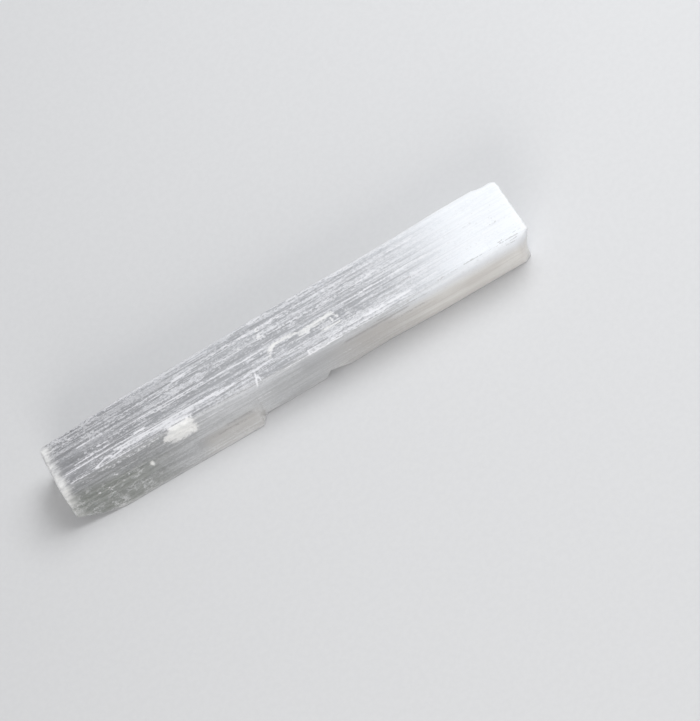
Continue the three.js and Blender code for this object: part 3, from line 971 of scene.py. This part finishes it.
    # Bump: fibres everywhere, torn stubs on the ends, and grain where the stone is rough.
    height = tree.maths("ADD", tree.product(fine, 0.6), tree.product(cells, 0.25))
    height = tree.maths("ADD", height, tree.product(cap, stubs, -1.2))
    rough = tree.product(grain, tree.most(crushed, tree.product(scratch, 0.7), tree.product(rim, 0.8)), 1.2)
    bump = tree.add("Bump", {
        "Height": tree.maths("ADD", height, rough), "Strength": 0.45, "Distance": BUMP_HEIGHT,
    }).outputs[0]

    stone = tree.add("BsdfPrincipled", {
        "Base Color": colour, "Roughness": gloss, "Transmission Weight": see, "Normal": bump,
        "IOR": IOR, "Subsurface Weight": 1.0, "Subsurface Scale": SCATTER,
        "Subsurface Radius": (1.0, 1.0, 1.0),
    })
    inside = tree.add("VolumeAbsorption", {"Color": rgba(look.inside), "Density": look.inside_density})
    tree.add("OutputMaterial", {"Surface": stone.outputs[0], "Volume": inside.outputs[0]})
    return tree.material


def veil_material(look):
    """A sealed-in veil: dull white with a broken edge to its tone."""
    tree = Tree("sealed_in_white")
    patch = tree.fibres(160, 2200, 3)
    colour = tree.mix(tree.ramp(patch, 0.35, 0.65), rgba(look.clear_light), rgba(look.streak))
    bump = tree.add("Bump", {"Height": patch, "Strength": 0.3, "Distance": BUMP_HEIGHT}).outputs[0]
    white = tree.add("BsdfPrincipled", {"Base Color": colour, "Roughness": 0.7, "Normal": bump})
    tree.add("OutputMaterial", {"Surface": white.outputs[0]})
    return tree.material


def floor_material(stage):
    """A plain pale sheet with a faint even grain."""
    tree = Tree("pale_sheet")
    grain = tree.fibres(700, 700, 2)
    tone = tree.mix(tree.ramp(grain, 0.3, 0.7, 0.0, 0.04), rgba(stage.floor), (1, 1, 1, 1))
    sheet = tree.add("BsdfPrincipled", {"Base Color": tone, "Roughness": 0.9})
    tree.add("OutputMaterial", {"Surface": sheet.outputs[0]})
    return tree.material


# --------------------------------------------------
# Stage, in metres
# --------------------------------------------------

# Half the side of the floor's sheet, and the gap between it and the blade.
FLOOR_HALF = 1.5
FLOOR_GAP = 0.00005

# Each lamp's place, size and colour, and the colour of the surroundings.
KEY_LAMP = ((0.30, 0.16, 0.50), 0.42, (0.97, 0.985, 1.0))
FILL_LAMP = ((-0.18, -0.50, 0.22), 0.35, (1.0, 0.985, 0.96))
SKY_COLOUR = (0.97, 0.98, 1.0, 1.0)

# From the blade's middle to the middle of the view, in shares of the blade's length, width and height.
VIEW_MIDDLE = (0.0904, -0.4924, 0.0)

# The width of the camera's sensor, in millimetres.
SENSOR_WIDTH = 36.0


def lay_floor(stage):
    """A square sheet a little below the blade's underside."""
    corners = np.array(((-1, -1, 0), (1, -1, 0), (1, 1, 0), (-1, 1, 0))) * FLOOR_HALF
    corners[:, 2] = LOW[2] - FLOOR_GAP
    floor = mesh_object("floor", corners, np.array([[0, 1, 2, 3]]), np.empty((0, 3), int))
    floor.data.materials.append(floor_material(stage))


def lamp(name, power, at, size, tint):
    """A square soft lamp aimed at the blade's middle."""
    data = bpy.data.lights.new(name, "AREA")
    data.shape = "SQUARE"
    data.size = size
    data.energy = power
    data.color = tint
    ob = bpy.data.objects.new(name, data)
    bpy.context.scene.collection.objects.link(ob)
    ob.location = at
    from_blade = Vector(at) - Vector(MIDDLE)
    ob.rotation_euler = from_blade.to_track_quat("Z", "Y").to_euler()


def place_lamps(stage):
    """A large cool lamp above the milky end, a small warm one in front, and even surroundings."""
    lamp("key_lamp", stage.key, *KEY_LAMP)
    lamp("fill_lamp", stage.fill, *FILL_LAMP)
    world = bpy.data.worlds.new("surroundings")
    world.use_nodes = True
    background = world.node_tree.nodes["Background"]
    background.inputs["Color"].default_value = SKY_COLOUR
    background.inputs["Strength"].default_value = stage.sky
    bpy.context.scene.world = world


def place_camera(stage):
    """A long lens that looks down on the blade, rolled so that the fibres rise to the right.

    The view's middle lies to the right of the blade's middle and in front of it.
    """
    data = bpy.data.cameras.new("camera")
    data.lens = stage.lens
    data.sensor_fit = "HORIZONTAL"
    data.sensor_width = SENSOR_WIDTH
    data.clip_start = 0.01
    camera = bpy.data.objects.new("camera", data)
    bpy.context.scene.collection.objects.link(camera)
    aim = MIDDLE + np.array(VIEW_MIDDLE) * (LENGTH, WIDTH, HEIGHT)
    away = stage.view_width * stage.lens / SENSOR_WIDTH
    back = np.array((0, -math.cos(stage.elevation), math.sin(stage.elevation)))
    level_up = np.array((0, math.sin(stage.elevation), math.cos(stage.elevation)))
    along = np.array((1.0, 0.0, 0.0))
    right = math.cos(stage.roll) * along - math.sin(stage.roll) * level_up
    up = math.sin(stage.roll) * along + math.cos(stage.roll) * level_up
    place = aim + back * away
    turn = np.eye(4)
    turn[:3, 0], turn[:3, 1], turn[:3, 2], turn[:3, 3] = right, up, back, place
    camera.matrix_world = Matrix(turn.tolist())
    bpy.context.scene.camera = camera
    bpy.context.scene.view_settings.view_transform = "Standard"


# --------------------------------------------------
# Settings
# --------------------------------------------------

class BladeShape(bpy.types.PropertyGroup):
    """How finely the blade and its veils are made."""

    sides: IntProperty(name="Sides", description="Points round the section", default=300)
    rings: IntProperty(name="Rings", description="Sections along the blade", default=256)
    cap_rings: IntProperty(name="End rings", description="Rings on each broken end", default=22)
    relief: FloatProperty(name="Relief", description="Depth of the fibre relief, 1 is natural", default=1.2)
    veils: IntProperty(name="Veils", description="White veils sealed in the stone", default=260)
    veil_depth: FloatProperty(name="Veil depth", description="Deepest veil, in millimetres", default=3.2)


class StoneLook(bpy.types.PropertyGroup):
    """Colours and clearness of the selenite."""

    clear_dark: FloatVectorProperty(
        name="Clear, dark", description="Darker tone of the clear end", subtype="COLOR",
        default=(0.337, 0.338, 0.349))
    clear_light: FloatVectorProperty(
        name="Clear, light", description="Lighter tone of the clear end", subtype="COLOR",
        default=(0.477, 0.475, 0.492))
    # The front face's slightly darker copy of the clear stone: painted shade.
    clear_front: FloatVectorProperty(
        name="Clear, front", description="Clear end, front face", subtype="COLOR",
        default=(0.385, 0.393, 0.397))
    scratch: FloatVectorProperty(
        name="Scratched", description="Scratched zone of the front face", subtype="COLOR",
        default=(0.265, 0.283, 0.245))
    line: FloatVectorProperty(
        name="Dark lines", description="Fine dark lines", subtype="COLOR",
        default=(0.34, 0.33, 0.33))
    # Milky top face: milky white with a painted cool tint of sky light.
    sky_lit_milk_top: FloatVectorProperty(
        name="Milk, top", description="Milky end, top face", subtype="COLOR",
        default=(0.87, 0.89, 0.92))
    # The front face's darker, warmer copy of the milky stone: painted shade with a painted warm bounce.
    shaded_warm_milk_front: FloatVectorProperty(
        name="Milk, front", description="Milky end, front face", subtype="COLOR",
        default=(0.83, 0.815, 0.782))
    # The front face's darker, cool copy of the cloudy stone: painted shade.
    shaded_cool_front: FloatVectorProperty(
        name="Cloudy, front", description="Cloudy middle, front face", subtype="COLOR",
        default=(0.76, 0.765, 0.775))
    # Colour of the darker brownish patches on the front face, and of the shade there.
    brownish_patch: FloatVectorProperty(
        name="Smudges", description="Faint brown smudges of the front face", subtype="COLOR",
        default=(0.50, 0.45, 0.42))
    # White of the streaks, which are partly painted highlights, and of the veils.
    streak: FloatVectorProperty(
        name="Streaks", description="White streaks", subtype="COLOR",
        default=(0.884, 0.881, 0.90))
    # The white of the crushed places, also given to the frost and the painted glow of the ends.
    bruise: FloatVectorProperty(
        name="Bruises", description="Crushed white places", subtype="COLOR",
        default=(0.83, 0.825, 0.81))
    inside: FloatVectorProperty(
        name="Inside", description="Tint of light that crosses the stone", subtype="COLOR",
        default=(0.80, 0.83, 0.87))
    inside_density: FloatProperty(name="Inside density", description="Absorption per metre", default=120.0)
    see_through_left: FloatProperty(
        name="Clearness, left", description="See-through share at the clear end", subtype="FACTOR",
        default=0.4)
    see_through_right: FloatProperty(
        name="Clearness, right", description="See-through share at the milky end", subtype="FACTOR",
        default=0.1)


class StageLook(bpy.types.PropertyGroup):
    """Floor, lamps and camera."""

    floor: FloatVectorProperty(
        name="Floor", description="Colour of the sheet", subtype="COLOR",
        default=(0.63, 0.63, 0.635))
    lens: FloatProperty(name="Lens", description="Focal length", unit="CAMERA", default=300.0)
    elevation: FloatProperty(
        name="Elevation", description="Camera above the horizon", subtype="ANGLE", default=math.radians(60))
    roll: FloatProperty(
        name="Roll", description="Turn of the camera", subtype="ANGLE", default=math.radians(30))
    view_width: FloatProperty(
        name="View width", description="Width of the view at the blade", unit="LENGTH", default=0.16955)
    key: FloatProperty(name="Key lamp", description="Power of the large lamp", unit="POWER", default=2.9)
    fill: FloatProperty(name="Fill lamp", description="Power of the front lamp", unit="POWER", default=1.45)
    sky: FloatProperty(name="Surroundings", description="Strength of the even light", default=0.42)


# --------------------------------------------------
# Operators
# --------------------------------------------------

class MESH_OT_selenite_body(bpy.types.Operator):
    """Make the blade's closed surface and its stone"""

    bl_idname = "mesh.selenite_body"
    bl_label = "Blade"

    def execute(self, context):
        scene = context.scene
        blade = make_blade(scene.selenite_shape)
        blade.data.materials.append(selenite_material(scene.selenite_look))
        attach(blade, "root")
        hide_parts(NODE)
        return {"FINISHED"}


class MESH_OT_selenite_veils(bpy.types.Operator):
    """Make the white veils that are sealed in the stone"""

    bl_idname = "mesh.selenite_veils"
    bl_label = "Sealed-in Veils"

    def execute(self, context):
        scene = context.scene
        veils = make_veils(scene.selenite_shape.veils, scene.selenite_shape.veil_depth)
        veils.data.materials.append(veil_material(scene.selenite_look))
        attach(veils, "root")
        return {"FINISHED"}


class SCENE_OT_selenite_stage(bpy.types.Operator):
    """Lay the floor, place the lamps and the camera"""

    bl_idname = "scene.selenite_stage"
    bl_label = "Stage"

    def execute(self, context):
        stage = context.scene.selenite_stage
        lay_floor(stage)
        place_lamps(stage)
        place_camera(stage)
        return {"FINISHED"}


class VIEW3D_PT_selenite(bpy.types.Panel):
    """Sidebar panel with the blade's makers"""

    bl_label = "Selenite"
    bl_idname = "VIEW3D_PT_selenite"
    bl_space_type = "VIEW_3D"
    bl_region_type = "UI"
    bl_category = "Selenite"

    def draw(self, context):
        for maker in MAKERS:
            self.layout.operator(maker.bl_idname)


MAKERS = (MESH_OT_selenite_body, MESH_OT_selenite_veils, SCENE_OT_selenite_stage)
CLASSES = (BladeShape, StoneLook, StageLook, *MAKERS, VIEW3D_PT_selenite)


def register():
    """Registers the classes and hangs the settings on the scene."""
    for each in CLASSES:
        bpy.utils.register_class(each)
    bpy.types.Scene.selenite_shape = PointerProperty(type=BladeShape)
    bpy.types.Scene.selenite_look = PointerProperty(type=StoneLook)
    bpy.types.Scene.selenite_stage = PointerProperty(type=StageLook)


def unregister():
    """Undoes register."""
    del bpy.types.Scene.selenite_shape
    del bpy.types.Scene.selenite_look
    del bpy.types.Scene.selenite_stage
    for each in reversed(CLASSES):
        bpy.utils.unregister_class(each)


def main():
    """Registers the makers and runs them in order."""
    register()
    bpy.ops.mesh.selenite_body()
    bpy.ops.mesh.selenite_veils()
    bpy.ops.scene.selenite_stage()


if __name__ == "__main__":
    main()
